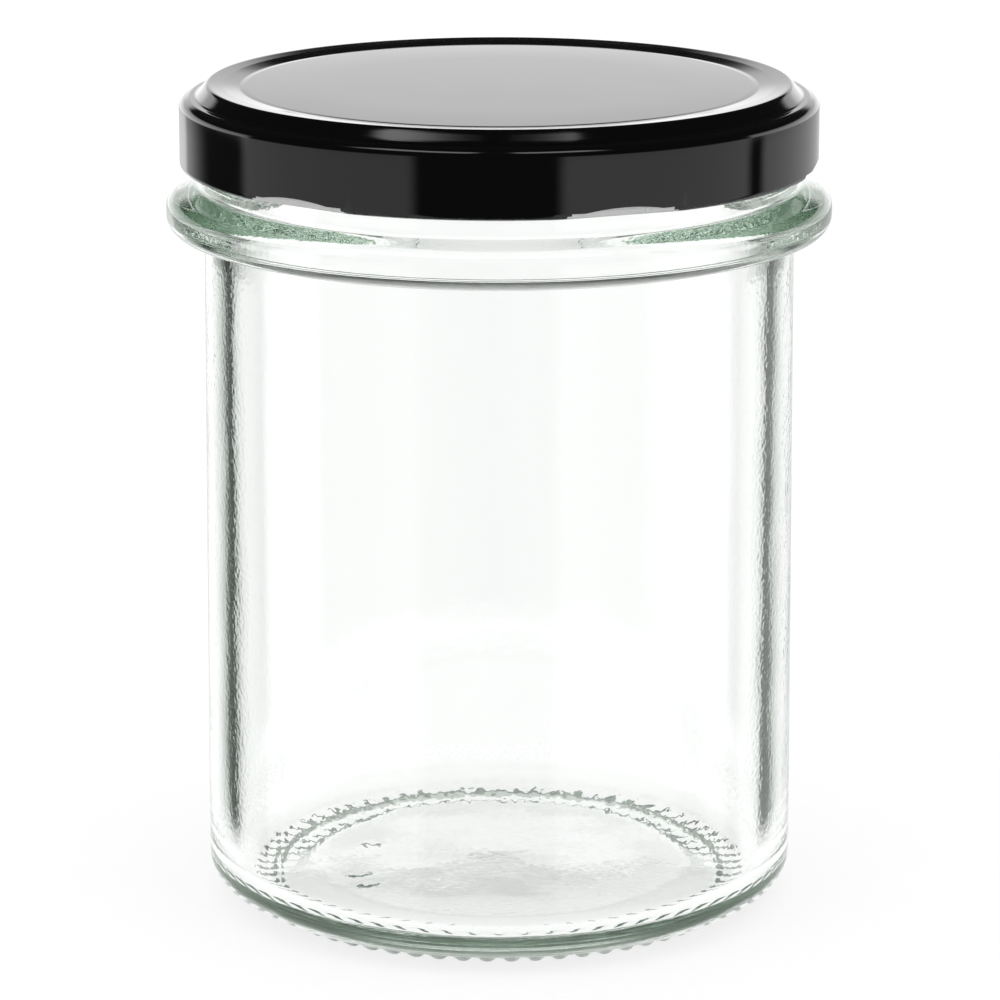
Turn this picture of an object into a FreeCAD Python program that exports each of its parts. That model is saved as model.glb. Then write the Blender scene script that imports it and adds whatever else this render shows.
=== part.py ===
import FreeCAD, Part
import math
import os

# A round straight-sided glass jar with a stacking ring under its neck, shut by a black steel
# twist-off lid. Millimetres, +Z up, the origin on the jar's axis in the plane it stands on.
# Three pieces: the glass, the lid pressed from one sheet, and the sealing ring inside the lid.

# Driving dimensions of the glass
BODY_LOW_R = 39.65        # outside of the body just above the heel
BODY_TOP_R = 39.15        # outside of the body just below the ring: a slight taper
INSIDE_R = 35.75          # the straight inside wall
RING_R = 44.17            # outside of the stacking ring
RING_LOW_Z = 91.9         # the ring's underside
RING_TOP_Z = 96.45        # the ring's top
NECK_R = 39.9             # outside of the neck between its threads
RIM_TOP_Z = 109.8         # the sealing surface
RIM_OUTER_R = 39.2        # where the rim starts to round over
FLOOR_Z = 4.15            # the inside floor at the foot of the wall
FLOOR_RISE = 0.9          # how far the floor swells up in its middle
PUSH_UP_Z = 1.9           # the underside at its middle

# Foot: a ring of short radial bars, on whose crests the jar stands
LAND_Z = 0.6              # the land between the bars
LAND_R = 30.7             # the land's inner edge
BAR_COUNT = 66
BAR_INNER_R = 31.0
BAR_OUTER_R = 34.1
BAR_FOOT_WIDTH = 1.9
BAR_CREST_WIDTH = 0.6
BAR_ROOT_Z = 0.95         # the bars are sunk this far up into the glass

# Threads: short slanted ridges round the neck
THREAD_COUNT = 6
THREAD_CREST_R = 41.0
THREAD_Z = 104.5
THREAD_HALF_FOOT = 0.95
THREAD_HALF_CREST = 0.3
THREAD_SPAN = 40.0        # degrees round the neck
THREAD_SLANT = 2.0        # degrees

# Driving dimensions of the lid
SHEET = 0.24              # thickness of the coated steel
SKIRT_R = 42.3            # outside of the skirt
LID_LOW_Z = 100.3         # the curl's lowest point
PANEL_Z = 110.86          # top of the flat middle panel
PANEL_R = 34.3            # radius of the flat panel
BEAD_Z = 111.3            # top of the raised bead round the panel
BEAD_INNER_R = 36.3
BEAD_OUTER_R = 38.35
GROOVE_R = 40.1           # bottom of the step outside the bead
GROOVE_Z = 109.27
SHOULDER_Z = 109.2        # where the skirt's line meets the shoulder's
CURL_WIDTH = 1.6

# Lugs: places where the curl is pressed flat and inwards, to catch under the threads
LUG_COUNT = 6
FIRST_LUG_ANGLE = -38.0   # degrees from the front, anticlockwise seen from above is positive
LUG_SPAN = 22.0           # degrees
LUG_INNER_R = 40.15
LUG_LOW_Z = 101.2
LUG_THICKNESS = 0.6

# Sealing ring: soft compound in the bead's channel
SEAL_INNER_R = 35.2
SEAL_OUTER_R = 39.3
SEAL_LOW_Z = 109.1

AXIS_BASE = FreeCAD.Vector(0, 0, 0)
UP = FreeCAD.Vector(0, 0, 1)
FRONT_ANGLE = -90.0       # the front is -Y
FULL_TURN = 360.0


def point(radius, height):
    """A point of a section, in the XZ plane."""
    return FreeCAD.Vector(radius, 0, height)


def rounded_edges(corners):
    """Edges of the closed outline through corners (radius, height, fillet), fillets as tangent arcs."""
    starts = []
    arcs = []
    for i, (radius, height, fillet) in enumerate(corners):
        corner = point(radius, height)
        before = point(*corners[i - 1][:2])
        after = point(*corners[(i + 1) % len(corners)][:2])
        if fillet == 0:
            starts.append((corner, corner))
            arcs.append(None)
            continue
        back = (before - corner).normalize()
        ahead = (after - corner).normalize()
        half_angle = back.getAngle(ahead) / 2
        reach = fillet / math.tan(half_angle)
        bisector = (back + ahead).normalize()
        middle = corner + bisector * (fillet / math.sin(half_angle) - fillet)
        start = corner + back * reach
        end = corner + ahead * reach
        starts.append((start, end))
        arcs.append(Part.Arc(start, middle, end).toShape())
    edges = []
    for i, arc in enumerate(arcs):
        if arc is not None:
            edges.append(arc)
        line_start = starts[i][1]
        line_end = starts[(i + 1) % len(starts)][0]
        if line_start.distanceToPoint(line_end) > 1e-4:
            edges.append(Part.LineSegment(line_start, line_end).toShape())
    return edges


def turned(corners, angle=FULL_TURN):
    """The solid of revolution of a rounded outline about the jar's axis."""
    face = Part.Face(Part.Wire(rounded_edges(corners)))
    return face.revolve(AXIS_BASE, UP, angle)


def centred_turn(corners, span):
    """A turned stretch of the outline, span degrees long, with its middle on +X."""
    stretch = turned(corners, span)
    stretch.rotate(AXIS_BASE, UP, -span / 2)
    return stretch


def copies_around(shape, count, first_angle=0.0):
    """Copies of a shape, evenly spaced about the jar's axis."""
    copies = []
    for i in range(count):
        copy = shape.copy()
        copy.rotate(AXIS_BASE, UP, first_angle + FULL_TURN * i / count)
        copies.append(copy)
    return copies


def glass_body():
    """The turned glass: heel, body, stacking ring, neck, rim, inside wall and floor."""
    outline = [
        (0, PUSH_UP_Z, 0),
        (LAND_R - 5.2, PUSH_UP_Z - 0.3, 0),
        (LAND_R, LAND_Z, 1.2),
        (34.76, LAND_Z, 1.8),
        (BODY_LOW_R, 3.9, 3.9),
        (BODY_TOP_R, RING_LOW_Z - 0.4, 0.9),
        (RING_R, RING_LOW_Z, 2.4),
        (RING_R, RING_TOP_Z, 2.0),
        (NECK_R, RING_TOP_Z + 1.4, 0.9),
        (NECK_R, RIM_TOP_Z - 2.6, 1.5),
        (RIM_OUTER_R, RIM_TOP_Z, 1.6),
        (INSIDE_R, RIM_TOP_Z, 1.6),
        (INSIDE_R, FLOOR_Z, 3.5),
        (20.0, FLOOR_Z + FLOOR_RISE * 0.7, 60.0),
        (0, FLOOR_Z + FLOOR_RISE, 0),
    ]
    return turned(outline)


def foot_bar():
    """One radial bar of the foot, with a flat crest at the standing plane."""
    foot = BAR_FOOT_WIDTH / 2
    crest = BAR_CREST_WIDTH / 2
    section = Part.makePolygon([
        FreeCAD.Vector(BAR_INNER_R, -foot, BAR_ROOT_Z),
        FreeCAD.Vector(BAR_INNER_R, -crest, 0),
        FreeCAD.Vector(BAR_INNER_R, crest, 0),
        FreeCAD.Vector(BAR_INNER_R, foot, BAR_ROOT_Z),
        FreeCAD.Vector(BAR_INNER_R, -foot, BAR_ROOT_Z),
    ])
    return Part.Face(section).extrude(FreeCAD.Vector(BAR_OUTER_R - BAR_INNER_R, 0, 0))


def thread_ridge():
    """One slanted thread ridge, with its middle on +X."""
    root = NECK_R - 0.6
    outline = [
        (root, THREAD_Z - THREAD_HALF_FOOT, 0),
        (THREAD_CREST_R, THREAD_Z - THREAD_HALF_CREST, 0),
        (THREAD_CREST_R, THREAD_Z + THREAD_HALF_CREST, 0),
        (root, THREAD_Z + THREAD_HALF_FOOT, 0),
    ]
    ridge = centred_turn(outline, THREAD_SPAN)
    ridge.rotate(FreeCAD.Vector(NECK_R, 0, THREAD_Z), FreeCAD.Vector(1, 0, 0), THREAD_SLANT)
    return ridge


def glass_jar():
    """The whole glass: one solid."""
    additions = copies_around(foot_bar(), BAR_COUNT)
    additions += copies_around(thread_ridge(), THREAD_COUNT, FRONT_ANGLE)
    return glass_body().multiFuse(additions).removeSplitter()


def lid_sheet():
    """The turned sheet of the lid, from the panel's middle to the rolled curl at the skirt's foot."""
    inner_skirt = SKIRT_R - SHEET
    curl_inner = SKIRT_R - CURL_WIDTH
    curl_top = LID_LOW_Z + CURL_WIDTH
    outline = [
        (0, PANEL_Z, 0),
        (PANEL_R - 0.8, PANEL_Z, 3.0),
        (PANEL_R, PANEL_Z - 0.05, 0.6),
        (BEAD_INNER_R, BEAD_Z - 0.14, 0.8),
        (BEAD_OUTER_R, BEAD_Z + 0.035, 0.8),
        (GROOVE_R, GROOVE_Z, 0.6),
        (SKIRT_R, SHOULDER_Z, 1.2),
        (SKIRT_R, LID_LOW_Z, CURL_WIDTH * 0.49),
        (curl_inner, LID_LOW_Z, CURL_WIDTH * 0.49),
        (curl_inner, curl_top, CURL_WIDTH * 0.4),
        (inner_skirt - 0.1, curl_top, 0),
        (inner_skirt - 0.1, curl_top - SHEET, 0),
        (curl_inner + SHEET, curl_top - SHEET, CURL_WIDTH * 0.3),
        (curl_inner + SHEET, LID_LOW_Z + SHEET, CURL_WIDTH * 0.3),
        (inner_skirt, LID_LOW_Z + SHEET, CURL_WIDTH * 0.3),
        (inner_skirt, SHOULDER_Z - SHEET, 0.96),
        (GROOVE_R - SHEET * 0.3, GROOVE_Z - SHEET, 0.84),
        (BEAD_OUTER_R - SHEET * 0.5, BEAD_Z - SHEET, 0.56),
        (BEAD_INNER_R, BEAD_Z - 0.14 - SHEET, 1.0),
        (PANEL_R, PANEL_Z - 0.05 - SHEET, 0.8),
        (PANEL_R - 0.8, PANEL_Z - SHEET, 3.0),
        (0, PANEL_Z - SHEET, 0),
    ]
    return turned(outline)


def lug_gap():
    """The stretch of curl that a lug takes up, with its middle on +X."""
    below = LID_LOW_Z - 1.0
    outline = [
        (LUG_INNER_R - 1.0, below, 0),
        (SKIRT_R + 1.0, below, 0),
        (SKIRT_R + 1.0, LUG_LOW_Z + LUG_THICKNESS / 2, 0),
        (SKIRT_R - SHEET / 2, LUG_LOW_Z + LUG_THICKNESS / 2, 0),
        (SKIRT_R - SHEET / 2, LID_LOW_Z + CURL_WIDTH + 0.2, 0),
        (LUG_INNER_R - 1.0, LID_LOW_Z + CURL_WIDTH + 0.2, 0),
    ]
    return centred_turn(outline, LUG_SPAN)


def lug():
    """The flattened double sheet of one lug, with its middle on +X."""
    outline = [
        (LUG_INNER_R, LUG_LOW_Z, 0.25),
        (SKIRT_R, LUG_LOW_Z, 0.25),
        (SKIRT_R, LUG_LOW_Z + LUG_THICKNESS, 0),
        (LUG_INNER_R, LUG_LOW_Z + LUG_THICKNESS, 0.25),
    ]
    return centred_turn(outline, LUG_SPAN + 1.0)


def lid():
    """The whole lid: one solid, with the curl cut back where the lugs are pressed in."""
    first = FRONT_ANGLE + FIRST_LUG_ANGLE
    shape = lid_sheet().cut(copies_around(lug_gap(), LUG_COUNT, first))
    return shape.fuse(copies_around(lug(), LUG_COUNT, first)).removeSplitter()


def seal_ring(jar_solid, lid_solid):
    """The compound that fills the bead's channel down on to the rim."""
    outline = [
        (SEAL_INNER_R, SEAL_LOW_Z + 0.9, 0.3),
        (SEAL_OUTER_R, SEAL_LOW_Z, 0.3),
        (SEAL_OUTER_R, BEAD_Z, 0),
        (SEAL_INNER_R, BEAD_Z, 0),
    ]
    pieces = turned(outline).cut([jar_solid, lid_solid]).Solids
    return min(pieces, key=lambda piece: piece.CenterOfMass.z + (piece.Volume < 20) * 1000)


jar_shape = glass_jar()
lid_shape = lid()
shapes = {
    "glass_jar": jar_shape,
    "lid": lid_shape,
    "seal_ring": seal_ring(jar_shape, lid_shape),
}

os.makedirs("parts", exist_ok=True)
for node, shape in shapes.items():
    solids = shape.Solids
    if len(solids) != 1 or not solids[0].isValid():
        raise RuntimeError(node + " is not one valid solid: " + str(len(solids)))
    solids[0].exportStep("parts/" + node + ".step")
    box = solids[0].BoundBox
    print(node, "volume", round(solids[0].Volume, 1), "z", round(box.ZMin, 3), round(box.ZMax, 3),
          "x", round(box.XMin, 3), round(box.XMax, 3))
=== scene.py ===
import math

import bmesh
import bpy
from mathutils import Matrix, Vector


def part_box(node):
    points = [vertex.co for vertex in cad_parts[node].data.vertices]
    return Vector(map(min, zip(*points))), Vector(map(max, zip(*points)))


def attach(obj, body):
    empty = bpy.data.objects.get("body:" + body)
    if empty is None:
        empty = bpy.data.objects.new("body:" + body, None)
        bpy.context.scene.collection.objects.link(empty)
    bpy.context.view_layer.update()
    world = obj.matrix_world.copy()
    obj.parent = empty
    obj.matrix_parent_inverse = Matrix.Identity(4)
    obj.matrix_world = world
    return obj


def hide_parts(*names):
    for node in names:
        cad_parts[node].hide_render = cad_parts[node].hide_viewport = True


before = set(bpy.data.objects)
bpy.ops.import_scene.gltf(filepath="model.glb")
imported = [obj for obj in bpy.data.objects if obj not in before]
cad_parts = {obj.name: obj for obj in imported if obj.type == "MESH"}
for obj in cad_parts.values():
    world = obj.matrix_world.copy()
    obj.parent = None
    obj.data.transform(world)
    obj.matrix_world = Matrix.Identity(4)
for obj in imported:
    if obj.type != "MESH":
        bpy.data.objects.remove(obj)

# A closed glass jar with a black twist-off lid. The glass, the lid and the sealing ring are
# modelled here in place of the three solids of the frame, and lie where those solids lie, with the
# mould seams and the slight waves that the solids leave out. Lengths are in metres.

bl_info = {
    "name": "Glass jar",
    "version": (1, 0, 0),
    "blender": (4, 5, 0),
    "location": "3D View > Sidebar > Jar",
    "description": "Models a straight-sided glass jar with a twist-off lid, and a plain studio",
    "category": "Object",
}

MM = 0.001
FULL_TURN = 2 * math.pi
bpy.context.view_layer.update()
JAR_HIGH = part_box("glass_jar")[1]
LID_LOW, LID_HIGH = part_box("lid")
FRONT = -math.pi / 2          # the front is -Y
SIXTH = FULL_TURN / 6         # threads and lugs repeat six times


class JarGlassSizes(bpy.types.PropertyGroup):
    """Sizes of the glass."""

    body_low_r: bpy.props.FloatProperty(
        name="Body radius, low", description="Outside of the body just above the heel",
        default=39.65 * MM, unit="LENGTH", precision=5)
    body_top_r: bpy.props.FloatProperty(
        name="Body radius, top", description="Outside of the body just below the ring",
        default=39.15 * MM, unit="LENGTH", precision=5)
    inside_r: bpy.props.FloatProperty(
        name="Inside radius", description="Radius of the straight inside wall",
        default=35.75 * MM, unit="LENGTH", precision=5)
    ring_low: bpy.props.FloatProperty(
        name="Ring underside", description="Height of the stacking ring's underside",
        default=91.9 * MM, unit="LENGTH", precision=5)
    ring_top: bpy.props.FloatProperty(
        name="Ring top", description="Height of the stacking ring's top",
        default=96.45 * MM, unit="LENGTH", precision=5)
    neck_r: bpy.props.FloatProperty(
        name="Neck radius", description="Outside of the neck between its threads",
        default=39.9 * MM, unit="LENGTH", precision=5)
    floor_z: bpy.props.FloatProperty(
        name="Floor height", description="Inside floor at the foot of the wall",
        default=4.15 * MM, unit="LENGTH", precision=5)
    push_up: bpy.props.FloatProperty(
        name="Push-up", description="Height of the underside at its middle",
        default=1.9 * MM, unit="LENGTH", precision=5)
    bar_height: bpy.props.FloatProperty(
        name="Bar height", description="How far the foot's bars stand out of the foot's land",
        default=0.6 * MM, unit="LENGTH", precision=5)
    thread_height: bpy.props.FloatProperty(
        name="Thread height", description="How far the threads stand out of the neck",
        default=1.1 * MM, unit="LENGTH", precision=5)
    seam_height: bpy.props.FloatProperty(
        name="Seam height", description="How far the mould seams stand out",
        default=0.03 * MM, unit="LENGTH", precision=5)
    waviness: bpy.props.FloatProperty(
        name="Waviness", description="Unevenness of the moulded walls",
        default=0.05 * MM, unit="LENGTH", precision=5)
    columns: bpy.props.IntProperty(
        name="Columns", description="Steps round the glass, six for each foot bar",
        default=396)
    bars: bpy.props.IntProperty(
        name="Foot bars", description="Short radial bars under the foot", default=66)


class JarLidSizes(bpy.types.PropertyGroup):
    """Sizes of the lid and its sealing ring."""

    sheet: bpy.props.FloatProperty(
        name="Sheet", description="Thickness of the coated steel",
        default=0.24 * MM, unit="LENGTH", precision=5)
    panel_drop: bpy.props.FloatProperty(
        name="Panel drop", description="How far the flat panel lies below the bead",
        default=0.44 * MM, unit="LENGTH", precision=5)
    panel_r: bpy.props.FloatProperty(
        name="Panel radius", description="Radius of the flat panel",
        default=34.3 * MM, unit="LENGTH", precision=5)
    step_drop: bpy.props.FloatProperty(
        name="Step drop", description="How far the step outside the bead lies below the bead",
        default=1.72 * MM, unit="LENGTH", precision=5)
    curl: bpy.props.FloatProperty(
        name="Curl", description="Width of the rolled edge",
        default=1.6 * MM, unit="LENGTH", precision=5)
    lug_lift: bpy.props.FloatProperty(
        name="Lug lift", description="Height of the arch over a lug, above the rolled edge",
        default=0.5 * MM, unit="LENGTH", precision=5)
    lug_reach: bpy.props.FloatProperty(
        name="Lug reach", description="How far a lug is pressed inwards",
        default=1.3 * MM, unit="LENGTH", precision=5)
    lug_turn: bpy.props.FloatProperty(
        name="Lug turn", description="Where the first lug lies, from the front",
        default=math.radians(-38.0), subtype="ANGLE")
    lug_width: bpy.props.FloatProperty(
        name="Lug width", description="Stretch of the edge that a lug takes up",
        default=math.radians(23.0), subtype="ANGLE")
    columns: bpy.props.IntProperty(
        name="Columns", description="Steps round the lid", default=432)
    seal_columns: bpy.props.IntProperty(
        name="Seal columns", description="Steps round the sealing ring", default=240)


class JarFinishes(bpy.types.PropertyGroup):
    """Colours of the finishes."""

    glass_absorption: bpy.props.FloatVectorProperty(
        name="Glass tint", description="Colour that deep glass takes on",
        subtype="COLOR", size=3, min=0, max=1, default=(0.62, 0.82, 0.66))
    glass_density: bpy.props.FloatProperty(
        name="Glass depth", description="Strength of the tint for each metre of glass",
        default=8.0)
    lacquer: bpy.props.FloatVectorProperty(
        name="Lacquer", description="Colour of the lid's outside",
        subtype="COLOR", size=3, min=0, max=1, default=(0.0025, 0.0025, 0.0027))
    # The same grey is also painted along the lid's lowest edge, as a painted reflection under the
    # black lacquer.
    enamel: bpy.props.FloatVectorProperty(
        name="Enamel", description="Colour of the lid's inside and cut edge",
        subtype="COLOR", size=3, min=0, max=1, default=(0.62, 0.62, 0.62))
    compound: bpy.props.FloatVectorProperty(
        name="Compound", description="Colour of the sealing ring",
        subtype="COLOR", size=3, min=0, max=1, default=(0.72, 0.71, 0.66))


class JarStage(bpy.types.PropertyGroup):
    """The studio."""

    floor_size: bpy.props.FloatProperty(
        name="Floor size", description="Width of the floor", default=12.0, unit="LENGTH")
    lens: bpy.props.FloatProperty(
        name="Lens", description="Focal length in millimetres", default=172.8)
    distance: bpy.props.FloatProperty(
        name="Distance", description="From the camera to the jar's axis, along the floor",
        default=0.6285, unit="LENGTH", precision=4)
    height: bpy.props.FloatProperty(
        name="Height", description="Height of the camera", default=0.2118, unit="LENGTH",
        precision=4)
    aside: bpy.props.FloatProperty(
        name="Aside", description="How far to the right of the jar's axis the camera stands",
        default=0.0001, unit="LENGTH", precision=4)
    pitch: bpy.props.FloatProperty(
        name="Pitch", description="How far the camera looks down",
        default=math.radians(14.081), subtype="ANGLE")
    bounces: bpy.props.IntProperty(
        name="Bounces", description="How often light may bounce inside the glass", default=64)


# Modelling helpers


def rounded(corners):
    """Points through corners (radius, height, fillet, gap), with each fillet as an arc.

    No two points are further apart than the gap that the corner before them gives.
    """
    arc_step = math.radians(9)
    stops = []
    for i, (radius, height, fillet, gap) in enumerate(corners):
        corner = Vector((radius, height))
        if fillet == 0:
            stops.append([corner])
            continue
        back = (Vector(corners[i - 1][:2]) - corner).normalized()
        ahead = (Vector(corners[i + 1][:2]) - corner).normalized()
        half = back.angle(ahead) / 2
        centre = corner + (back + ahead).normalized() * fillet / math.sin(half)
        start = corner + back * fillet / math.tan(half) - centre
        turn = math.pi - 2 * half
        if back.x * ahead.y - back.y * ahead.x > 0:
            turn = -turn
        steps = max(math.ceil(abs(turn) / arc_step), math.ceil(abs(turn) * fillet / gap), 2)
        arc = []
        for k in range(steps + 1):
            angle = turn * k / steps
            cosine, sine = math.cos(angle), math.sin(angle)
            arc.append(centre + Vector((start.x * cosine - start.y * sine,
                                        start.x * sine + start.y * cosine)))
        stops.append(arc)
    points = list(stops[0])
    for i in range(1, len(stops)):
        gap = corners[i - 1][3]
        run = stops[i][0] - points[-1]
        steps = max(math.ceil(run.length / gap), 1)
        start = points[-1]
        for k in range(1, steps):
            points.append(start + run * k / steps)
        if run.length > 1e-7:
            points.append(stops[i][0])
        points.extend(stops[i][1:])
    return points


def lathe_sixth(name, corners, columns):
    """A new object: one point is extruded along the outline, which is spun a sixth of a turn."""
    points = rounded(corners)
    start = Vector((points[0].x, 0, points[0].y))
    bpy.ops.object.select_all(action="DESELECT")
    bpy.ops.mesh.primitive_plane_add(size=MM, location=(0, 0, 0))
    piece = bpy.context.object
    piece.name = name
    piece.data.name = name
    bpy.ops.object.mode_set(mode="EDIT")
    bpy.ops.mesh.select_mode(type="VERT")
    bpy.ops.mesh.merge(type="CENTER")
    bpy.ops.transform.translate(value=start)
    for before, after in zip(points, points[1:]):
        step = after - before
        bpy.ops.mesh.extrude_region_move(TRANSFORM_OT_translate={"value": (step.x, 0, step.y)})
    bpy.ops.mesh.select_all(action="SELECT")
    bpy.ops.mesh.spin(steps=columns // 6, angle=SIXTH, center=(0, 0, 0), axis=(0, 0, 1))
    bpy.ops.object.mode_set(mode="OBJECT")
    return piece


def complete_turn(piece):
    """Copies a finished sixth all the way round, and joins the sixths into one closed skin."""
    bpy.ops.object.mode_set(mode="EDIT")
    bpy.ops.mesh.select_all(action="SELECT")
    bpy.ops.mesh.spin(steps=5, dupli=True, angle=5 * SIXTH, center=(0, 0, 0), axis=(0, 0, 1))
    bpy.ops.mesh.select_all(action="SELECT")
    bpy.ops.mesh.remove_doubles(threshold=1e-6)
    bpy.ops.mesh.normals_make_consistent(inside=False)
    bpy.ops.object.mode_set(mode="OBJECT")
    bpy.ops.object.shade_smooth_by_angle(angle=math.radians(50))


def select_points(piece, rule):
    """In edit mode, selects exactly the points whose place follows the rule."""
    bpy.ops.mesh.select_mode(type="VERT")
    mesh = bmesh.from_edit_mesh(piece.data)
    for vertex in mesh.verts:
        vertex.select = rule(vertex.co)
    mesh.select_flush_mode()
    bmesh.update_edit_mesh(piece.data)


def weighted_modifier(piece, rule, kind, **settings):
    """Applies a modifier with the weight, 0 to 1, that the rule gives for each point's place."""
    group = piece.vertex_groups.new(name="weighted")
    for vertex in piece.data.vertices:
        weight = rule(vertex.co)
        if weight > 0:
            group.add([vertex.index], weight, "REPLACE")
    bpy.ops.object.modifier_add(type=kind)
    modifier = piece.modifiers[-1]
    modifier.vertex_group = group.name
    for name, value in settings.items():
        setattr(modifier, name, value)
    bpy.ops.object.modifier_apply(modifier=modifier.name)
    piece.vertex_groups.clear()


def raise_points(piece, rule, height, direction):
    """Moves points by height times the rule's weight, along an axis or their normals."""
    weighted_modifier(piece, rule, "DISPLACE", direction=direction, mid_level=0, strength=height)


def draw_inwards(piece, rule, reach, radius):
    """Draws points at the radius inwards by reach times the rule's weight."""
    weighted_modifier(piece, rule, "CAST", cast_type="CYLINDER", use_z=False,
                      use_radius_as_size=False, size=radius / 2, factor=reach / (radius / 2))


def angle_in_pattern(co, first, period):
    """The angle round the axis to a place from the nearest of the copies at first + k * period."""
    return (math.atan2(co.y, co.x) - first + period / 2) % period - period / 2


def fade(value, low, high):
    """0 below low, 1 above high, and smooth between."""
    share = min(max((value - low) / (high - low), 0), 1)
    return share * share * (3 - 2 * share)


def radius_of(co):
    """How far a place lies from the jar's axis."""
    return math.hypot(co.x, co.y)


# Materials


class Nodes:
    """Short ways to add and join nodes in one node tree."""

    def __init__(self, tree):
        self.tree = tree
        self.tree.nodes.clear()

    def add(self, kind, **settings):
        """A new node with its settings."""
        node = self.tree.nodes.new(kind)
        for name, value in settings.items():
            setattr(node, name, value)
        return node

    def join(self, source, target):
        """Links an output to an input."""
        self.tree.links.new(source, target)

    def math(self, operation, first, second=None, third=None):
        """The result of a sum on numbers and outputs."""
        node = self.add("ShaderNodeMath", operation=operation)
        for socket, value in zip(node.inputs, (first, second, third)):
            if value is None:
                continue
            if isinstance(value, (int, float)):
                socket.default_value = value
            else:
                self.join(value, socket)
        return node.outputs[0]

    def ramp(self, value, low, high, start=0.0, end=1.0):
        """Goes smoothly from start to end as the value goes from low to high."""
        node = self.add("ShaderNodeMapRange", interpolation_type="SMOOTHSTEP")
        self.join(value, node.inputs["Value"])
        node.inputs["From Min"].default_value = low
        node.inputs["From Max"].default_value = high
        node.inputs["To Min"].default_value = start
        node.inputs["To Max"].default_value = end
        return node.outputs["Result"]

    def curve(self, value, stops, reach):
        """A value drawn through stops (place, value); the value that comes in is place / reach."""
        node = self.add("ShaderNodeValToRGB")
        points = node.color_ramp.elements
        while len(points) < len(stops):
            points.new(1.0)
        for point, (place, level) in zip(points, stops):
            point.position = place / reach
            point.color = (level, level, level, 1)
        self.join(value, node.inputs["Fac"])
        return node.outputs["Color"]

    def window(self, value, low, high, soft):
        """1 between low and high, 0 outside, with soft edges."""
        rise = self.ramp(value, low - soft, low + soft)
        drop = self.ramp(value, high - soft, high + soft, 1.0, 0.0)
        return self.math("MULTIPLY", rise, drop)

    def noise(self, scale, detail=2.0):
        """Noise that is fixed to the piece."""
        place = self.add("ShaderNodeTexCoord")
        noise = self.add("ShaderNodeTexNoise")
        noise.inputs["Scale"].default_value = scale
        noise.inputs["Detail"].default_value = detail
        self.join(place.outputs["Object"], noise.inputs["Vector"])
        return noise.outputs["Fac"]

    def bump(self, shader, height, strength, distance):
        """Bumps the shader's surface."""
        bump = self.add("ShaderNodeBump")
        bump.inputs["Strength"].default_value = strength
        bump.inputs["Distance"].default_value = distance
        self.join(height, bump.inputs["Height"])
        self.join(bump.outputs["Normal"], shader.inputs["Normal"])

    def mix(self, factor, first, second):
        """A colour between two."""
        mix = self.add("ShaderNodeMix", data_type="RGBA")
        mix.inputs["A"].default_value = (*first, 1)
        mix.inputs["B"].default_value = (*second, 1)
        self.join(factor, mix.inputs["Factor"])
        return mix.outputs["Result"]


def new_material(name):
    """A new material and its empty node tree."""
    material = bpy.data.materials.new(name)
    material.use_nodes = True
    return material, Nodes(material.node_tree)


def shader_output(nodes, shader, volume=None):
    """Ends a material's node tree."""
    output = nodes.add("ShaderNodeOutputMaterial")
    nodes.join(shader, output.inputs["Surface"])
    if volume is not None:
        nodes.join(volume, output.inputs["Volume"])


def glass_material(finishes):
    """Clear moulded glass: a very slight grain of the surface, and a green tint by depth."""
    material, nodes = new_material("clear_glass")
    shader = nodes.add("ShaderNodeBsdfPrincipled")
    shader.inputs["Base Color"].default_value = (1, 1, 1, 1)
    shader.inputs["Roughness"].default_value = 0.0
    shader.inputs["IOR"].default_value = 1.52
    shader.inputs["Transmission Weight"].default_value = 1.0
    grain = nodes.noise(scale=1500.0, detail=0.0)
    nodes.bump(shader, grain, strength=0.1, distance=0.06 * MM)
    tint = nodes.add("ShaderNodeVolumeAbsorption")
    tint.inputs["Color"].default_value = (*finishes.glass_absorption, 1)
    tint.inputs["Density"].default_value = finishes.glass_density
    shader_output(nodes, shader.outputs[0], tint.outputs[0])
    return material


def lacquer_material(finishes):
    """Glossy black lacquer with a faint orange peel and fine wipe marks in its gloss."""
    material, nodes = new_material("black_lacquer")
    shader = nodes.add("ShaderNodeBsdfPrincipled")
    shader.inputs["Base Color"].default_value = (*finishes.lacquer, 1)
    shader.inputs["IOR"].default_value = 1.5
    marks = nodes.noise(scale=90.0, detail=4.0)
    roughness = nodes.ramp(marks, 0.3, 0.8, start=0.05, end=0.11)
    nodes.join(roughness, shader.inputs["Roughness"])
    nodes.bump(shader, nodes.noise(scale=900.0), strength=0.05, distance=0.03 * MM)
    shader_output(nodes, shader.outputs[0])
    return material


def enamel_and_edge_reflection_material(finishes):
    """Satin grey enamel of the lid's inside, slightly mottled; the same grey is also a painted
    reflection along the lid's lowest edge.
    """
    material, nodes = new_material("grey_enamel_and_edge_reflection")
    shader = nodes.add("ShaderNodeBsdfPrincipled")
    shader.inputs["Metallic"].default_value = 0.3
    mottle = nodes.noise(scale=400.0)
    darker = [0.85 * c for c in finishes.enamel]
    lighter = [min(1.15 * c, 1) for c in finishes.enamel]
    nodes.join(nodes.mix(mottle, darker, lighter), shader.inputs["Base Color"])
    roughness = nodes.ramp(mottle, 0.3, 0.7, start=0.25, end=0.4)
    nodes.join(roughness, shader.inputs["Roughness"])
    shader_output(nodes, shader.outputs[0])
    return material


def compound_material(finishes):
    """Matte off-white sealing compound with a fine pebbled skin."""
    material, nodes = new_material("seal_compound")
    shader = nodes.add("ShaderNodeBsdfPrincipled")
    pebble = nodes.noise(scale=700.0, detail=3.0)
    darker = [0.9 * c for c in finishes.compound]
    nodes.join(nodes.mix(pebble, darker, finishes.compound), shader.inputs["Base Color"])
    roughness = nodes.ramp(pebble, 0.3, 0.7, start=0.5, end=0.7)
    nodes.join(roughness, shader.inputs["Roughness"])
    nodes.bump(shader, pebble, strength=0.3, distance=0.05 * MM)
    shader_output(nodes, shader.outputs[0])
    return material


# The glass


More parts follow.
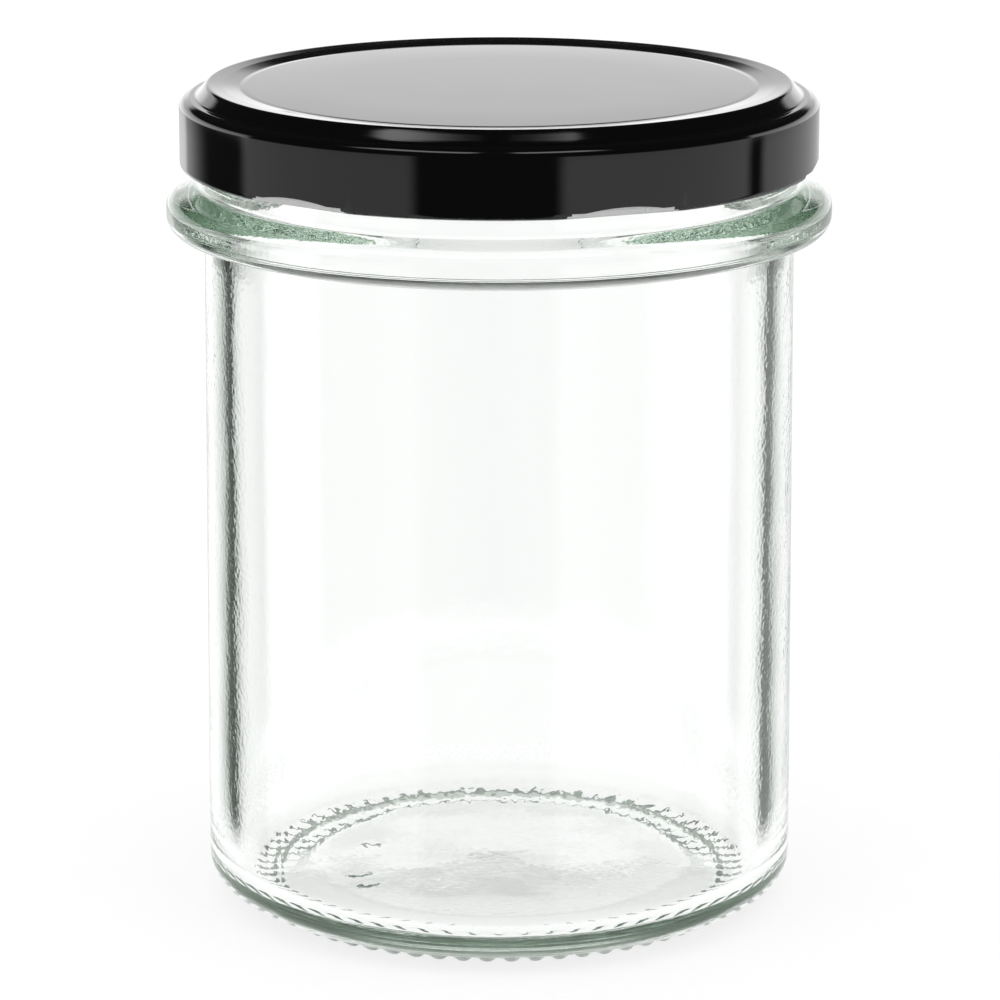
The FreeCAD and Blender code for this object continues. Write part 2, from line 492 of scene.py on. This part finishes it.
LAND_R = 30.7 * MM            # inner and outer edge of the foot's land
LAND_OUTER_R = 34.76 * MM
LAND_SLOPE = 5.2 * MM         # width of the slope from the push-up down to the land
HEEL = 3.9 * MM               # height and rounding of the heel
RIM_OUTER_R = 39.2 * MM
FLOOR_BEND_R = 20 * MM        # where the inside floor bends, and how far it rises there
FLOOR_BEND_RISE = 0.63 * MM
FLOOR_RISE = 0.9 * MM         # how far the inside floor rises to its middle
BASE_MIDDLE = 2.5 * MM        # a height between the underside and the inside floor
BAR_INNER_R = LAND_R          # where the foot bars begin and end
BAR_OUTER_R = 34.4 * MM
BAR_HALF_WIDTH = 1.15 * MM
THREAD_Z = 104.5 * MM         # height of the threads' middles
THREAD_FLAT = 0.2 * MM        # half the width of a thread's crest, and of its foot
THREAD_HALF_WIDTH = 0.95 * MM
THREAD_HALF_SPAN = math.radians(20)
THREAD_RUN_OUT = math.radians(4)
THREAD_SLANT = math.radians(2)
BODY_SEAM = math.radians(-46.7)   # where the mould seams lie, from the front
RING_SEAM = math.radians(-54.0)
SEAM_HALF_WIDTH = 0.09 * MM
UNDERSIDE_WAVE = 14 * MM      # lengths of the waves in the glass
INSIDE_FLOOR_WAVE = 10 * MM
WALL_WAVE = 9 * MM
FLOOR_WAVES_END = (6 * MM, 8 * MM)    # heights between which the waves begin or end
WALL_WAVES_BEGIN = (7 * MM, 12 * MM)
WALL_WAVES_END = (86 * MM, 91 * MM)
DOTS = ((-18.9 * MM, -7.2 * MM), (-17.6 * MM, -11.4 * MM), (-17.8 * MM, 5.6 * MM))
DOT_DEPTH = 0.35 * MM
DOT_FLAT_R = 0.4 * MM         # radius of a dot's flat face, and of its foot
DOT_R = 1.3 * MM


def glass_corners(sizes):
    """The outline of the glass, from the underside's middle round to the floor's middle."""
    ring_r = JAR_HIGH.x
    rim = JAR_HIGH.z
    land = sizes.bar_height
    return [
        (0, sizes.push_up, 0, 0.8 * MM),
        (LAND_R - LAND_SLOPE, sizes.push_up - 0.3 * MM, 8 * MM, 0.8 * MM),
        (LAND_R, land, 3 * MM, 0.5 * MM),
        (LAND_OUTER_R, land, 12 * MM, 0.9 * MM),
        (sizes.body_low_r, HEEL, HEEL, 2.8 * MM),
        (sizes.body_top_r, sizes.ring_low - 0.4 * MM, 0.9 * MM, 1 * MM),
        (ring_r, sizes.ring_low, 2.4 * MM, 0.8 * MM),
        (ring_r, sizes.ring_top, 2.0 * MM, 0.8 * MM),
        (sizes.neck_r, sizes.ring_top + 1.4 * MM, 0.9 * MM, 0.5 * MM),
        (sizes.neck_r, rim - 2.6 * MM, 1.5 * MM, 1 * MM),
        (RIM_OUTER_R, rim, 1.6 * MM, 1 * MM),
        (sizes.inside_r, rim, 1.6 * MM, 2.8 * MM),
        (sizes.inside_r, sizes.floor_z, 3.5 * MM, 2 * MM),
        (FLOOR_BEND_R, sizes.floor_z + FLOOR_BEND_RISE, 60 * MM, 2 * MM),
        (0, sizes.floor_z + FLOOR_RISE, 0, 1 * MM),
    ]


def bar_weight(sizes):
    """Rounded radial bars under the foot."""
    period = FULL_TURN / sizes.bars

    def rule(co):
        radius = radius_of(co)
        if co.z > BASE_MIDDLE or not BAR_INNER_R - MM < radius < BAR_OUTER_R + MM:
            return 0
        across = abs(angle_in_pattern(co, 0, period)) * radius
        along = min(radius - BAR_INNER_R, BAR_OUTER_R - radius)
        round_across = math.sqrt(max(1 - (across / BAR_HALF_WIDTH) ** 2, 0))
        return round_across * fade(along, -0.3 * MM, 0.5 * MM)

    return rule


def thread_weight(sizes):
    """Six short slanted ridges round the neck."""

    def rule(co):
        radius = radius_of(co)
        if radius < sizes.neck_r - 0.2 * MM:
            return 0
        along = angle_in_pattern(co, FRONT, SIXTH)
        middle = THREAD_Z + along * radius * math.tan(THREAD_SLANT)
        across = 1 - fade(abs(co.z - middle), THREAD_FLAT, THREAD_HALF_WIDTH)
        crest_end = THREAD_HALF_SPAN - THREAD_RUN_OUT
        return across * (1 - fade(abs(along), crest_end, THREAD_HALF_SPAN))

    return rule


def draw_seam(piece, sizes, turn, low, high):
    """Draws the columns beside a mould seam close to it, and raises the seam as a fine ridge."""
    step = FULL_TURN / sizes.columns
    first = round((FRONT + turn) / step) * step
    close = SEAM_HALF_WIDTH / sizes.neck_r
    outside = sizes.inside_r + 0.8 * MM

    def on_column(co, offset):
        return (low < co.z < high and radius_of(co) > outside
                and abs(angle_in_pattern(co, first + offset, math.pi)) < step / 4)

    bpy.ops.object.mode_set(mode="EDIT")
    for side in (-1, 1):
        select_points(piece, lambda co: on_column(co, side * step))
        bpy.ops.transform.rotate(value=side * (step - close), orient_axis="Z",
                                 center_override=(0, 0, 0))
    bpy.ops.object.mode_set(mode="OBJECT")
    raise_points(piece, lambda co: float(on_column(co, 0)), sizes.seam_height, "NORMAL")


def make_wavy(piece, rule, size, height):
    """Gives the glass the slight unevenness of a moulding."""
    texture = bpy.data.textures.new("waves", "CLOUDS")
    texture.noise_scale = size
    texture.noise_depth = 1
    weighted_modifier(piece, rule, "DISPLACE", texture=texture, texture_coords="LOCAL",
                      strength=height)


def underside_weight(co):
    """The underside inside the foot."""
    return float(co.z < BASE_MIDDLE) * (1 - fade(radius_of(co), LAND_R - 4 * MM, LAND_R))


def inside_floor_weight(sizes):
    """The inside's floor and the corner round it."""

    def rule(co):
        if radius_of(co) > sizes.inside_r - 0.1 * MM or co.z < BASE_MIDDLE:
            return 0
        return 1 - fade(co.z, *FLOOR_WAVES_END)

    return rule


def wall_weight(co):
    """The straight wall, inside and outside."""
    return fade(co.z, *WALL_WAVES_BEGIN) * (1 - fade(co.z, *WALL_WAVES_END))


def dot_weight(co):
    """A few plain dots under the base."""
    if co.z > BASE_MIDDLE:
        return 0
    nearest = min(math.hypot(co.x - x, co.y - y) for x, y in DOTS)
    return 1 - fade(nearest, DOT_FLAT_R, DOT_R)


class JAR_OT_glass(bpy.types.Operator):
    """Models the glass: lathe work, foot bars, threads, mould seams and uneven walls"""

    bl_idname = "jar.glass"
    bl_label = "Glass"

    def execute(self, context):
        sizes = context.scene.jar_glass
        piece = lathe_sixth("jar_glass", glass_corners(sizes), sizes.columns)
        raise_points(piece, bar_weight(sizes), -sizes.bar_height, "Z")
        raise_points(piece, thread_weight(sizes), sizes.thread_height, "NORMAL")
        complete_turn(piece)
        raise_points(piece, dot_weight, -DOT_DEPTH, "Z")
        make_wavy(piece, underside_weight, UNDERSIDE_WAVE, 2 * sizes.waviness)
        make_wavy(piece, inside_floor_weight(sizes), INSIDE_FLOOR_WAVE, 2 * sizes.waviness)
        make_wavy(piece, wall_weight, WALL_WAVE, sizes.waviness)
        draw_seam(piece, sizes, BODY_SEAM, 0.8 * MM, sizes.ring_low)
        draw_seam(piece, sizes, RING_SEAM, sizes.ring_low + MM, JAR_HIGH.z)
        piece.data.materials.append(glass_material(context.scene.jar_finishes))
        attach(piece, "root")
        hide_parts("glass_jar")
        return {"FINISHED"}


# The lid and its sealing ring


PANEL_EDGE = 0.8 * MM         # width and drop of the panel's edge
PANEL_EDGE_DROP = 0.05 * MM
BEAD_INNER_R = 36.5 * MM      # corners of the raised bead round the panel
BEAD_OUTER_R = 38.7 * MM
BEAD_DIP = 0.2 * MM           # how much lower the bead's inner corner is
STEP_INNER_R = 40.1 * MM      # the flat step outside the bead
STEP_OUTER_R = 41.0 * MM
SHOULDER_DROP = 0.45 * MM     # from the step to the corner of the skirt
CURL_GAP = 0.1 * MM           # between the curl's cut edge and the skirt
SEAL_INNER_R = 35.3 * MM      # the sealing ring, and how far it stays off the lid and the rim
SEAL_OUTER_R = 38.9 * MM
SEAL_CLEARANCE = 0.02 * MM


def lid_corners(sizes):
    """The outline of the lid's sheet: the top, the skirt, round the curl and back inside."""
    top = LID_HIGH.z
    low = LID_LOW.z
    skirt = LID_HIGH.x
    sheet = sizes.sheet
    panel = top - sizes.panel_drop
    step = top - sizes.step_drop
    shoulder = step - SHOULDER_DROP
    curl_inner = skirt - sizes.curl
    curl_top = low + sizes.curl
    return [
        (0, panel, 0, 12 * MM),
        (sizes.panel_r - PANEL_EDGE, panel, 3 * MM, 0.4 * MM),
        (sizes.panel_r, panel - PANEL_EDGE_DROP, 0.6 * MM, 0.4 * MM),
        (BEAD_INNER_R, top - BEAD_DIP, 0.8 * MM, 0.4 * MM),
        (BEAD_OUTER_R, top, 0.7 * MM, 0.5 * MM),
        (STEP_INNER_R, step, 0.5 * MM, 0.4 * MM),
        (STEP_OUTER_R, step, 0.8 * MM, 0.4 * MM),
        (skirt, shoulder, 1.1 * MM, 2.6 * MM),
        (skirt, low + sizes.curl / 2, 0, 0.4 * MM),
        (skirt, low, sizes.curl * 0.49, 0.4 * MM),
        (curl_inner, low, sizes.curl * 0.49, 0.4 * MM),
        (curl_inner, curl_top, sizes.curl * 0.4, 0.4 * MM),
        (skirt - sheet - CURL_GAP, curl_top, 0, 0.4 * MM),
        (skirt - sheet - CURL_GAP, curl_top - sheet, 0, 0.4 * MM),
        (curl_inner + sheet, curl_top - sheet, sizes.curl * 0.3, 0.4 * MM),
        (curl_inner + sheet, low + sheet, sizes.curl * 0.3, 0.4 * MM),
        (skirt - sheet, low + sheet, sizes.curl * 0.3, 1.5 * MM),
        (skirt - sheet, shoulder - sheet, 0.86 * MM, 0.6 * MM),
        (STEP_OUTER_R, step - sheet, 0.56 * MM, 0.6 * MM),
        (STEP_INNER_R - sheet / 2, step - sheet, 0.7 * MM, 0.6 * MM),
        (BEAD_OUTER_R - sheet / 2, top - sheet, 0.5 * MM, 0.6 * MM),
        (BEAD_INNER_R, top - BEAD_DIP - sheet, 1.0 * MM, 0.6 * MM),
        (sizes.panel_r, panel - PANEL_EDGE_DROP - sheet, 0.8 * MM, 0.6 * MM),
        (sizes.panel_r - PANEL_EDGE, panel - sheet, 3 * MM, 12 * MM),
        (0, panel - sheet, 0, MM),
    ]


def lug_depth(co, sizes):
    """How deep a lug is pressed at a place's angle: 0 outside the lugs, 1 at their middles."""
    off = angle_in_pattern(co, FRONT + sizes.lug_turn, SIXTH) / (sizes.lug_width / 2)
    return max(1 - off * off, 0)


def lug_edge(co, sizes):
    """Height of the arched line below which the edge is pressed into a lug."""
    return LID_LOW.z + (sizes.curl / 2 + sizes.lug_lift) * lug_depth(co, sizes)


def press_lug(piece, sizes):
    """Presses a lug into the sixth: the edge is drawn inwards below a line that is arched up."""
    skirt = LID_HIGH.x
    bend = LID_LOW.z + sizes.curl / 2
    curl_inner = skirt - sizes.curl
    close = 0.01 * MM

    def arch(co):
        if radius_of(co) < skirt - close or abs(co.z - bend) > close:
            return 0
        return max(lug_edge(co, sizes) - bend, 0) / sizes.lug_lift

    def press(co):
        if co.z > LID_LOW.z + 1.1 * sizes.curl or abs(co.z - bend) < close:
            return 0
        if radius_of(co) > skirt - close and co.z > bend:
            return 0
        outward = (radius_of(co) - curl_inner) / sizes.curl
        return lug_depth(co, sizes) * (0.3 + 0.7 * max(outward, 0))

    draw_inwards(piece, press, sizes.lug_reach, skirt)
    raise_points(piece, arch, sizes.lug_lift, "Z")


def enamel_and_edge_reflection_faces(sizes):
    """Tells the faces of the lid's inside, its lugs and its lowest edge from the outside; on the
    lowest edge the grey is a painted reflection.
    """
    curl_top = LID_LOW.z + sizes.curl
    # The lowest strip of the edge is painted grey as a painted reflection under the black lacquer.
    edge = LID_LOW.z + 0.15 * MM
    inner_r = LID_HIGH.x - sizes.sheet / 2 - 0.3 * MM
    inside = Vector((0, 0, LID_LOW.z))

    def rule(middle, normal):
        if middle.z > curl_top:
            return normal.dot(inside - middle) > 0
        if middle.z < max(edge, lug_edge(middle, sizes)):
            return True
        return radius_of(middle) < inner_r

    return rule


def paint_enamel_and_edge_reflection(piece, rule):
    """Gives the second material to the faces whose middle and normal follow the rule."""
    bpy.ops.object.mode_set(mode="EDIT")
    bpy.ops.mesh.select_mode(type="FACE")
    mesh = bmesh.from_edit_mesh(piece.data)
    for face in mesh.faces:
        face.select = rule(face.calc_center_median(), face.normal)
    bmesh.update_edit_mesh(piece.data)
    piece.active_material_index = 1
    bpy.ops.object.material_slot_assign()
    bpy.ops.object.mode_set(mode="OBJECT")


class JAR_OT_lid(bpy.types.Operator):
    """Models the lid: the turned sheet with its rolled edge, six lugs, the inside's enamel and a
    painted reflection along the lowest edge
    """

    bl_idname = "jar.lid"
    bl_label = "Lid"

    def execute(self, context):
        sizes = context.scene.jar_lid
        finishes = context.scene.jar_finishes
        piece = lathe_sixth("twist_lid", lid_corners(sizes), sizes.columns)
        press_lug(piece, sizes)
        complete_turn(piece)
        piece.data.materials.append(lacquer_material(finishes))
        piece.data.materials.append(enamel_and_edge_reflection_material(finishes))
        paint_enamel_and_edge_reflection(piece, enamel_and_edge_reflection_faces(sizes))
        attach(piece, "root")
        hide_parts("lid")
        return {"FINISHED"}


def seal_corners(sizes):
    """The closed outline of the sealing ring, which fills the bead down to the rim."""
    roof = LID_HIGH.z - sizes.sheet - SEAL_CLEARANCE
    rim = JAR_HIGH.z + SEAL_CLEARANCE
    return [
        (SEAL_INNER_R, roof - 0.25 * MM, 0, 0.5 * MM),
        (36.4 * MM, roof, 0.4 * MM, 0.5 * MM),
        (38.1 * MM, roof, 0.4 * MM, 0.5 * MM),
        (SEAL_OUTER_R, roof - 0.8 * MM, 0.2 * MM, 0.5 * MM),
        (38.6 * MM, rim - 0.3 * MM, 0.2 * MM, 0.5 * MM),
        (37.9 * MM, rim, 0.4 * MM, 0.5 * MM),
        (36.9 * MM, rim, 0.4 * MM, 0.5 * MM),
        (SEAL_INNER_R, rim - 0.1 * MM, 0.2 * MM, 0.5 * MM),
        (SEAL_INNER_R, roof - 0.25 * MM, 0, 0.5 * MM),
    ]


class JAR_OT_seal(bpy.types.Operator):
    """Models the ring of sealing compound between the lid's bead and the rim"""

    bl_idname = "jar.seal"
    bl_label = "Sealing ring"

    def execute(self, context):
        sizes = context.scene.jar_lid
        piece = lathe_sixth("seal_compound_ring", seal_corners(sizes), sizes.seal_columns)
        complete_turn(piece)
        piece.data.materials.append(compound_material(context.scene.jar_finishes))
        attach(piece, "root")
        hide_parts("seal_ring")
        return {"FINISHED"}


# The studio


def degrees_of(nodes, value):
    """An angle in degrees, from radians."""
    return nodes.math("MULTIPLY", value, 180 / math.pi)


def sky_angles(nodes):
    """Azimuth from +Y towards +X, and elevation, of a world direction, in degrees."""
    place = nodes.add("ShaderNodeTexCoord")
    parts = nodes.add("ShaderNodeSeparateXYZ")
    nodes.join(place.outputs["Generated"], parts.inputs[0])
    azimuth = degrees_of(nodes, nodes.math("ARCTAN2", parts.outputs["X"], parts.outputs["Y"]))
    elevation = degrees_of(nodes, nodes.math("ARCSINE", parts.outputs["Z"]))
    return azimuth, elevation


def away_from(nodes, azimuth, middle):
    """Degrees between the azimuth and a middle, 0 to 180."""
    wrapped = nodes.math("WRAP", nodes.math("SUBTRACT", azimuth, middle), 180.0, -180.0)
    return nodes.math("ABSOLUTE", wrapped)


PLAIN_LIGHT = 0.8                 # what plain surfaces are lit by; the eye sees white, 1
# What gloss shows: middle azimuth, half width, lowest and highest elevation, softness, level
GLOSS_PANELS = (
    (0, 80, -6, 14.5, 2, 1.15),       # the bright wall behind
    (0, 80, -6, 8, 2, 0.5),           # its lower part, which is brighter
    (22, 50, -60, -6, 3, 0.80),       # the floor behind
    (-30, 12, -60, -6, 12, 1.0),      # the floor behind, where it fades out to the left
    (-113, 36.5, -60, -4, 3, 0.76),   # the floor to the left
    (119, 39, -60, -4, 3, 0.86),      # the floor to the right
    (-138, 30, 49, 65, 4, 3.2),       # the soft box high on the left
    (151, 21, 49, 65, 4, 3.2),        # the soft box high on the right
)
GLOSS_DARK = 0.02                 # what gloss shows elsewhere
# What glass shows: white up to a lofty edge, less white high above it, and dim on the camera's
# side. Each is a change with the angle: from, to, level at from, level at to
GLASS_UP = (18.8, 19.9, 1.12, 0.12)
GLASS_HIGH_UP = (44.0, 52.0, 0.0, 0.5)
GLASS_BACKWARDS = (95.0, 115.0, 1.0, 0.2)
# A wing on each side, which darkens all above the wall's own view: inner and outer edge, softness
GLASS_WINGS = (20.0, 62.0, 5.0)
GLASS_WING_FOOT = (-11.9, -10.9, 0.0, 0.6)
# On each side of a line of sight stands a dark upright screen.
# Each line of sight: azimuth, lowest and highest elevation
SIGHT_LINES = (
    (0, -22, 18),
    (-90, -7, 2),
    (-127, -31, -22),
    (135, -20, -9),
)
# How dark it is at each angle away from a line of sight
SCREEN = ((0, 0), (14, 0.02), (20, 0.08), (25, 0.22), (29, 0.42), (33, 0.56), (35.5, 0.76),
          (38, 0.97), (42.5, 0.97), (46, 0.65), (51, 0.1), (55, 0))
SCREEN_REACH = 60
SCREEN_SOFTNESS = 1.5
GLASS_SHADE = (0.84, 1, 0.85)     # what the dark parts tend to, in glass


def gloss_level(nodes, azimuth, elevation):
    """How bright gloss sees the studio."""
    total = GLOSS_DARK
    for middle, half, low, high, soft, level in GLOSS_PANELS:
        beside = nodes.ramp(away_from(nodes, azimuth, middle), half - soft, half + soft, 1.0, 0.0)
        inside = nodes.math("MULTIPLY", beside, nodes.window(elevation, low, high, soft))
        total = nodes.math("MULTIPLY_ADD", inside, level, total)
    return total


def glass_level(nodes, azimuth, elevation):
    """How bright glass sees the studio."""
    level = nodes.ramp(elevation, *GLASS_UP)
    level = nodes.math("ADD", level, nodes.ramp(elevation, *GLASS_HIGH_UP))
    off = away_from(nodes, azimuth, 0)
    level = nodes.math("MULTIPLY", level, nodes.ramp(off, *GLASS_BACKWARDS))
    beside = nodes.window(off, *GLASS_WINGS)
    wings = nodes.math("MULTIPLY", beside, nodes.ramp(elevation, *GLASS_WING_FOOT))
    level = nodes.math("MULTIPLY", level, nodes.math("SUBTRACT", 1.0, wings))
    for middle, low, high in SIGHT_LINES:
        off = away_from(nodes, azimuth, middle)
        dark = nodes.curve(nodes.math("DIVIDE", off, SCREEN_REACH), SCREEN, SCREEN_REACH)
        dark = nodes.math("MULTIPLY", dark, nodes.window(elevation, low, high, SCREEN_SOFTNESS))
        level = nodes.math("MULTIPLY", level, nodes.math("SUBTRACT", 1.0, dark))
    return level


def studio_world():
    """White to the eye, and a plain studio of panels and screens to gloss and glass."""
    world = bpy.data.worlds.new("studio")
    bpy.context.scene.world = world
    world.use_nodes = True
    world.cycles.sampling_method = "NONE"
    nodes = Nodes(world.node_tree)
    azimuth, elevation = sky_angles(nodes)
    path = nodes.add("ShaderNodeLightPath")
    plain = nodes.math("MULTIPLY_ADD", path.outputs["Is Camera Ray"],
                       1 - PLAIN_LIGHT, PLAIN_LIGHT)
    level = plain
    for ray, other in (("Is Glossy Ray", gloss_level), ("Is Transmission Ray", glass_level)):
        change = nodes.math("SUBTRACT", other(nodes, azimuth, elevation), level)
        level = nodes.math("MULTIPLY_ADD", path.outputs[ray], change, level)
    scattered = nodes.math("MINIMUM", path.outputs["Diffuse Depth"], 1.0)
    change = nodes.math("SUBTRACT", plain, level)
    level = nodes.math("MULTIPLY_ADD", scattered, change, level)
    shade = nodes.math("MULTIPLY", path.outputs["Is Transmission Ray"],
                       nodes.math("SUBTRACT", 1.0, level))
    background = nodes.add("ShaderNodeBackground")
    nodes.join(nodes.mix(shade, (1, 1, 1), GLASS_SHADE), background.inputs["Color"])
    nodes.join(level, background.inputs["Strength"])
    output = nodes.add("ShaderNodeOutputWorld")
    nodes.join(background.outputs[0], output.inputs["Surface"])


FLOOR_COLOUR = (0.35, 0.35, 0.35, 1)
FLOOR_GLOW = 0.74                 # the floor's own light, and what is added to it in glass
FLOOR_GLOW_IN_GLASS = 0.15
FLOOR_REACH = (0.05, 0.08)        # where the floor ends for gloss and glass


def floor_material():
    """White floor that keeps shadows; further out, gloss and glass see the studio in its place."""
    material, nodes = new_material("white_floor")
    diffuse = nodes.add("ShaderNodeBsdfDiffuse")
    diffuse.inputs["Color"].default_value = FLOOR_COLOUR
    glow = nodes.add("ShaderNodeEmission")
    path = nodes.add("ShaderNodeLightPath")
    strength = nodes.math("MULTIPLY_ADD", path.outputs["Is Transmission Ray"],
                          FLOOR_GLOW_IN_GLASS, FLOOR_GLOW)
    nodes.join(strength, glow.inputs["Strength"])
    lit = nodes.add("ShaderNodeAddShader")
    nodes.join(diffuse.outputs[0], lit.inputs[0])
    nodes.join(glow.outputs[0], lit.inputs[1])
    clear = nodes.add("ShaderNodeBsdfTransparent")
    place = nodes.add("ShaderNodeTexCoord")
    reach = nodes.add("ShaderNodeVectorMath", operation="LENGTH")
    nodes.join(place.outputs["Object"], reach.inputs[0])
    mirrored = nodes.math("ADD", path.outputs["Is Glossy Ray"],
                          path.outputs["Is Transmission Ray"])
    away = nodes.ramp(reach.outputs["Value"], *FLOOR_REACH)
    blend = nodes.add("ShaderNodeMixShader")
    nodes.join(nodes.math("MULTIPLY", mirrored, away), blend.inputs[0])
    nodes.join(lit.outputs[0], blend.inputs[1])
    nodes.join(clear.outputs[0], blend.inputs[2])
    shader_output(nodes, blend.outputs[0])
    return material


def add_floor(stage):
    """The floor that the jar stands on."""
    bpy.ops.object.select_all(action="DESELECT")
    bpy.ops.mesh.primitive_plane_add(size=stage.floor_size, location=(0, 0, 0))
    floor = bpy.context.object
    floor.name = "floor"
    floor.data.materials.append(floor_material())


# The lamps: name and place
SOFT_BOXES = (
    ("soft_box_left", (-0.7, -0.6, 1.0)),
    ("soft_box_right", (0.7, -0.6, 1.0)),
)
SOFT_BOX_SIZE = 0.7
SOFT_BOX_POWER = 1.0


def add_soft_box(name, place):
    """A square lamp that faces the jar; gloss and glass see the studio's panels in its place."""
    bpy.ops.object.light_add(type="AREA", location=place)
    lamp = bpy.context.object
    lamp.name = name
    lamp.data.shape = "SQUARE"
    lamp.data.size = SOFT_BOX_SIZE
    lamp.data.energy = SOFT_BOX_POWER
    aim = Vector((0, 0, JAR_HIGH.z / 2)) - Vector(place)
    lamp.rotation_euler = aim.to_track_quat("-Z", "Y").to_euler()
    lamp.visible_glossy = False
    lamp.visible_transmission = False
    lamp.visible_camera = False


def add_camera(stage):
    """The camera in front of the jar, which looks down at it."""
    bpy.ops.object.camera_add(location=(stage.aside, -stage.distance, stage.height),
                              rotation=(math.pi / 2 - stage.pitch, 0, 0))
    camera = bpy.context.object
    camera.name = "camera"
    camera.data.lens = stage.lens
    camera.data.clip_start = 0.01
    camera.data.clip_end = 30
    bpy.context.scene.camera = camera


class JAR_OT_stage(bpy.types.Operator):
    """Sets up the white floor, the studio's light and the camera"""

    bl_idname = "jar.stage"
    bl_label = "Stage"

    def execute(self, context):
        stage = context.scene.jar_stage
        studio_world()
        add_floor(stage)
        for name, place in SOFT_BOXES:
            add_soft_box(name, place)
        add_camera(stage)
        context.scene.view_settings.view_transform = "Standard"
        cycles = context.scene.cycles
        cycles.max_bounces = stage.bounces
        cycles.glossy_bounces = stage.bounces
        cycles.transmission_bounces = stage.bounces
        return {"FINISHED"}


class JAR_PT_panel(bpy.types.Panel):
    """Lists the jar's pieces and its studio"""

    bl_label = "Glass jar"
    bl_idname = "JAR_PT_panel"
    bl_space_type = "VIEW_3D"
    bl_region_type = "UI"
    bl_category = "Jar"

    def draw(self, context):
        for operator in PIECES:
            self.layout.operator(operator.bl_idname)
        for group in (context.scene.jar_glass, context.scene.jar_lid,
                      context.scene.jar_finishes, context.scene.jar_stage):
            box = self.layout.box()
            for name in group.__annotations__:
                box.prop(group, name)


GROUPS = {
    "jar_glass": JarGlassSizes,
    "jar_lid": JarLidSizes,
    "jar_finishes": JarFinishes,
    "jar_stage": JarStage,
}
PIECES = (JAR_OT_glass, JAR_OT_lid, JAR_OT_seal, JAR_OT_stage)


def register():
    """Makes the settings, the operators and the panel known to Blender."""
    for name, group in GROUPS.items():
        bpy.utils.register_class(group)
        setattr(bpy.types.Scene, name, bpy.props.PointerProperty(type=group))
    for cls in (*PIECES, JAR_PT_panel):
        bpy.utils.register_class(cls)


def unregister():
    """Takes them out again."""
    for cls in (JAR_PT_panel, *reversed(PIECES)):
        bpy.utils.unregister_class(cls)
    for name, group in reversed(GROUPS.items()):
        delattr(bpy.types.Scene, name)
        bpy.utils.unregister_class(group)


def main():
    """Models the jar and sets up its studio."""
    register()
    bpy.ops.jar.glass()
    bpy.ops.jar.lid()
    bpy.ops.jar.seal()
    bpy.ops.jar.stage()


if __name__ == "__main__":
    main()
